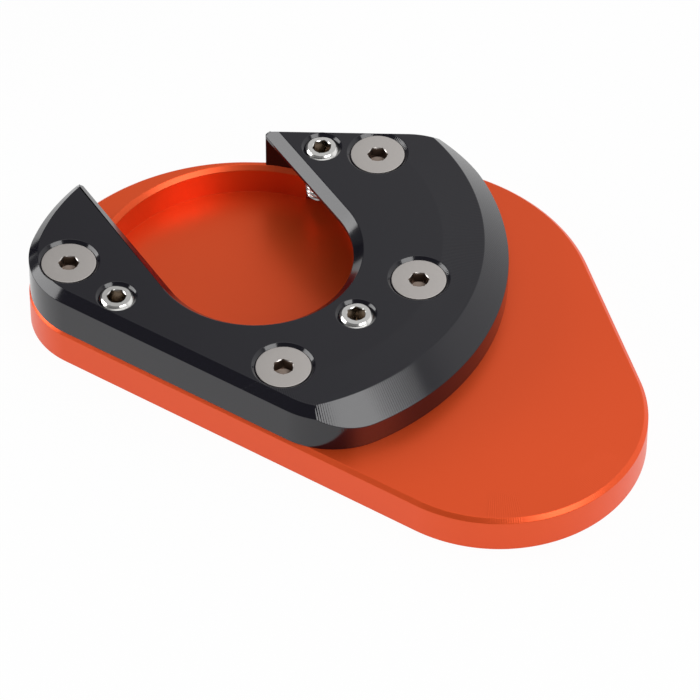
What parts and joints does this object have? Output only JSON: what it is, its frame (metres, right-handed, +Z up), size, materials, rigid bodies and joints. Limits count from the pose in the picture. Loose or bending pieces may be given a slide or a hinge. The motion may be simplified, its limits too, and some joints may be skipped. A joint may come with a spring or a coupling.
{
  "type": "kickstand foot enlarger",
  "caption": "Wide base plate with a round recess and a screwed-on horseshoe clamp plate that widen the foot of a motorbike's side stand.",
  "frame": {"origin": "on the flat underside, on the axis of the round recess for the foot", "axes": "+X along the straight front edge towards the round toe, +Y from the straight front edge to the back, +Z up through the clamp plate"},
  "size_m": [0.1162, 0.0748, 0.0162],
  "materials": {
    "orange_anodised": "satin orange anodised, milled",
    "black_anodised": "satin black anodised, milled",
    "screw_steel": "brushed stainless steel",
    "set_screw_steel": "bright stainless steel"
  },
  "bodies": {
    "root": {"base_plate": "orange_anodised", "clamp_plate": "black_anodised", "clamp_screw_1": "screw_steel", "clamp_screw_2": "screw_steel", "clamp_screw_3": "screw_steel", "clamp_screw_4": "screw_steel", "set_screw_1": "set_screw_steel", "set_screw_2": "set_screw_steel", "set_screw_3": "set_screw_steel"}
  },
  "joints": []
}
